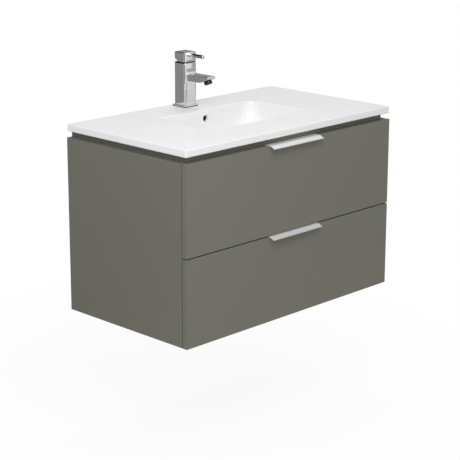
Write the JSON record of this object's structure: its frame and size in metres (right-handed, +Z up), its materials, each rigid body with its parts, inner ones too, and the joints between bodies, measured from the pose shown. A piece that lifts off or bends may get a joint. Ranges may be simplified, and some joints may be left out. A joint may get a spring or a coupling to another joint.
{
  "type": "bathroom vanity cabinet",
  "caption": "Wall-hung bathroom vanity with stacked full-width drawers, edge-pull handles, a thin inset ceramic basin on a recessed neck and a square mixer tap.",
  "frame": {"origin": "centre of the wall rail's back face, on the wall", "axes": "+X to the user's right, +Y into the wall, +Z up; the drawers open along -Y"},
  "size_m": [0.8, 0.4765, 0.675],
  "materials": {
    "matt_paint": "matt warm grey paint on MDF",
    "melamine": "light grey melamine-faced board",
    "white_ceramic": "glossy white glaze",
    "chrome": "polished chrome plate",
    "satin_aluminium": "satin anodised",
    "zinc_steel": "bright zinc-plated sheet steel",
    "brass": "raw machined brass",
    "dark_plastic": "dark grey moulded plastic",
    "rubber": "black rubber"
  },
  "bodies": {
    "cabinet": {"side_panel_left": "matt_paint", "side_panel_right": "matt_paint", "bottom_panel": "matt_paint", "top_stretcher": "matt_paint", "back_rail_upper": "matt_paint", "back_rail_lower": "matt_paint", "neck_front": "matt_paint", "neck_left": "matt_paint", "neck_right": "matt_paint", "wall_rail": "zinc_steel", "hanger_left": "zinc_steel", "hanger_right": "zinc_steel", "hanger_hook_left": "zinc_steel", "hanger_hook_right": "zinc_steel", "drawer_upper_runner_outer_left": "zinc_steel", "drawer_upper_runner_outer_right": "zinc_steel", "drawer_lower_runner_outer_left": "zinc_steel", "drawer_lower_runner_outer_right": "zinc_steel", "basin": "white_ceramic", "waste_body": "chrome", "waste_seal": "rubber", "waste_nut": "brass", "tap_foot_plate": "chrome", "tap_body": "chrome", "tap_aerator": "chrome", "tap_cartridge": "dark_plastic", "tap_stud": "brass", "tap_washer": "rubber", "tap_clamp_plate": "zinc_steel", "tap_nut": "brass"},
    "drawer_upper": {"drawer_upper_front": "matt_paint", "drawer_upper_handle": "satin_aluminium", "drawer_upper_inner_front": "melamine", "drawer_upper_side_left": "melamine", "drawer_upper_side_right": "melamine", "drawer_upper_bottom": "melamine", "drawer_upper_trap_guard": "dark_plastic", "drawer_upper_back_left": "melamine", "drawer_upper_back_right": "melamine", "drawer_upper_runner_inner_left": "zinc_steel", "drawer_upper_runner_inner_right": "zinc_steel"},
    "drawer_lower": {"drawer_lower_front": "matt_paint", "drawer_lower_handle": "satin_aluminium", "drawer_lower_inner_front": "melamine", "drawer_lower_side_left": "melamine", "drawer_lower_side_right": "melamine", "drawer_lower_bottom": "melamine", "drawer_lower_back": "melamine", "drawer_lower_runner_inner_left": "zinc_steel", "drawer_lower_runner_inner_right": "zinc_steel"},
    "slides_upper": {"drawer_upper_runner_middle_left": "zinc_steel", "drawer_upper_runner_middle_right": "zinc_steel"},
    "slides_lower": {"drawer_lower_runner_middle_left": "zinc_steel", "drawer_lower_runner_middle_right": "zinc_steel"},
    "mixer_stem": {"tap_stem": "brass"},
    "mixer_head": {"tap_head": "chrome", "tap_lever": "chrome"},
    "waste_plug": {"waste_plug": "chrome"}
  },
  "joints": [
    {"name": "drawer_upper_slide", "type": "slide", "parent": "cabinet", "child": "drawer_upper", "axis": [0, -1, 0], "range_m": [0, 0.35]},
    {"name": "drawer_lower_slide", "type": "slide", "parent": "cabinet", "child": "drawer_lower", "axis": [0, -1, 0], "range_m": [0, 0.35]},
    {"name": "slides_upper_slide", "type": "slide", "parent": "cabinet", "child": "slides_upper", "axis": [0, -1, 0], "range_m": [0, 0.175]},
    {"name": "slides_lower_slide", "type": "slide", "parent": "cabinet", "child": "slides_lower", "axis": [0, -1, 0], "range_m": [0, 0.175]},
    {"name": "mixer_turn", "type": "hinge", "parent": "cabinet", "child": "mixer_stem", "pos_m": [0, -0.042, 0.22], "axis": [0, 0, 1], "range_deg": [-45, 45]},
    {"name": "mixer_lift", "type": "hinge", "parent": "mixer_stem", "child": "mixer_head", "pos_m": [0, -0.042, 0.22], "axis": [-1, 0, 0], "range_deg": [0, 25]},
    {"name": "waste_plug_slide", "type": "slide", "parent": "cabinet", "child": "waste_plug", "axis": [0, 0, 1], "range_m": [0, 0.008]}
  ],
  "couplings": [
    {"joint": "slides_upper_slide", "follows": "drawer_upper_slide", "ratio": 0.5},
    {"joint": "slides_lower_slide", "follows": "drawer_lower_slide", "ratio": 0.5}
  ]
}
